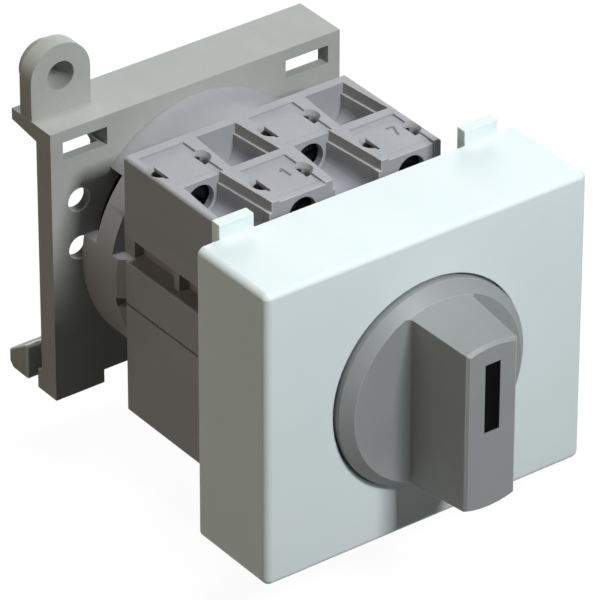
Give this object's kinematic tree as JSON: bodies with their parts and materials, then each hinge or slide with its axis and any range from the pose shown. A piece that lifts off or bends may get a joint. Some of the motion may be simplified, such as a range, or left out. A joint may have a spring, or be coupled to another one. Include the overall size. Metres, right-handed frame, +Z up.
{
  "type": "changeover cam switch",
  "caption": "Rail-mounted changeover cam switch: bar knob on a square front cover, stacked contact stages with screw terminals, star-wheel detent, base plate and sliding rail latch.",
  "frame": {"origin": "centre of the flat rear face that seats on the rail, on the knob's axis", "axes": "+Y back into the rail or panel, the knob faces -Y; +Z up; +X to the right seen from the front"},
  "size_m": [0.0524, 0.0742, 0.0628],
  "materials": {
    "plate_grey": "moulded",
    "stage_grey": "moulded",
    "cam_grey": "moulded",
    "knob_grey": "fine grained",
    "cover_white": "smooth moulded",
    "inlay_black": "smooth",
    "contact_brass": "stamped",
    "plated_steel": "zinc plated",
    "spring_steel": "drawn wire"
  },
  "bodies": {
    "housing": {"base_plate": "plate_grey", "rail_latch_springs": "spring_steel", "latch_housing": "stage_grey", "left_leaf_spring": "spring_steel", "right_leaf_spring": "spring_steel", "rear_stage_base": "stage_grey", "rear_stage_lid": "stage_grey", "front_stage_base": "stage_grey", "front_stage_lid": "stage_grey", "rear_left_spring": "spring_steel", "rear_right_spring": "spring_steel", "front_left_spring": "spring_steel", "front_right_spring": "spring_steel", "rear_fixed_contacts": "contact_brass", "front_fixed_contacts": "contact_brass", "rear_clamp_plates": "plated_steel", "front_clamp_plates": "plated_steel", "rear_terminal_screws": "plated_steel", "front_terminal_screws": "plated_steel", "tie_screws": "plated_steel", "tie_nuts": "plated_steel", "cover_frame": "stage_grey", "front_cover": "cover_white"},
    "rotor": {"knob": "knob_grey", "inlay": "inlay_black", "knob_clip": "spring_steel", "square_shaft": "plated_steel", "shaft_clip": "spring_steel", "rear_cam": "cam_grey", "front_cam": "cam_grey", "detent_wheel": "cam_grey"},
    "rear_left_carriage": {"rear_left_plunger": "cam_grey", "rear_left_bridge": "contact_brass"},
    "rear_right_carriage": {"rear_right_plunger": "cam_grey", "rear_right_bridge": "contact_brass"},
    "front_left_carriage": {"front_left_plunger": "cam_grey", "front_left_bridge": "contact_brass"},
    "front_right_carriage": {"front_right_plunger": "cam_grey", "front_right_bridge": "contact_brass"},
    "latch_slider": {"rail_latch": "plate_grey"}
  },
  "joints": [
    {"name": "knob_turn", "type": "hinge", "parent": "housing", "child": "rotor", "pos_m": [0, 0, 0], "axis": [0, 1, 0], "range_deg": [-60, 60], "deforming": ["left_leaf_spring", "right_leaf_spring"]},
    {"name": "rear_left_slide", "type": "slide", "parent": "housing", "child": "rear_left_carriage", "axis": [1, 0, 0], "range_m": [-0.00121, 0.00121], "deforming": ["rear_left_spring"]},
    {"name": "rear_right_slide", "type": "slide", "parent": "housing", "child": "rear_right_carriage", "axis": [1, 0, 0], "range_m": [-0.00121, 0.00121], "deforming": ["rear_right_spring"]},
    {"name": "front_left_slide", "type": "slide", "parent": "housing", "child": "front_left_carriage", "axis": [1, 0, 0], "range_m": [-0.00121, 0.00121], "deforming": ["front_left_spring"]},
    {"name": "front_right_slide", "type": "slide", "parent": "housing", "child": "front_right_carriage", "axis": [1, 0, 0], "range_m": [-0.00121, 0.00121], "deforming": ["front_right_spring"]},
    {"name": "rail_latch_slide", "type": "slide", "parent": "housing", "child": "latch_slider", "axis": [0, 0, -1], "range_m": [0, 0.0034], "stiffness_N_per_m": 1500, "springref_m": -0.002, "deforming": ["rail_latch_springs"]}
  ],
  "couplings": [
    {"joint": "rear_left_slide", "follows": "knob_turn", "m_per_rad": 0.0011459},
    {"joint": "rear_right_slide", "follows": "knob_turn", "m_per_rad": 0.0011459},
    {"joint": "front_left_slide", "follows": "knob_turn", "m_per_rad": 0.0011459},
    {"joint": "front_right_slide", "follows": "knob_turn", "m_per_rad": 0.0011459}
  ]
}
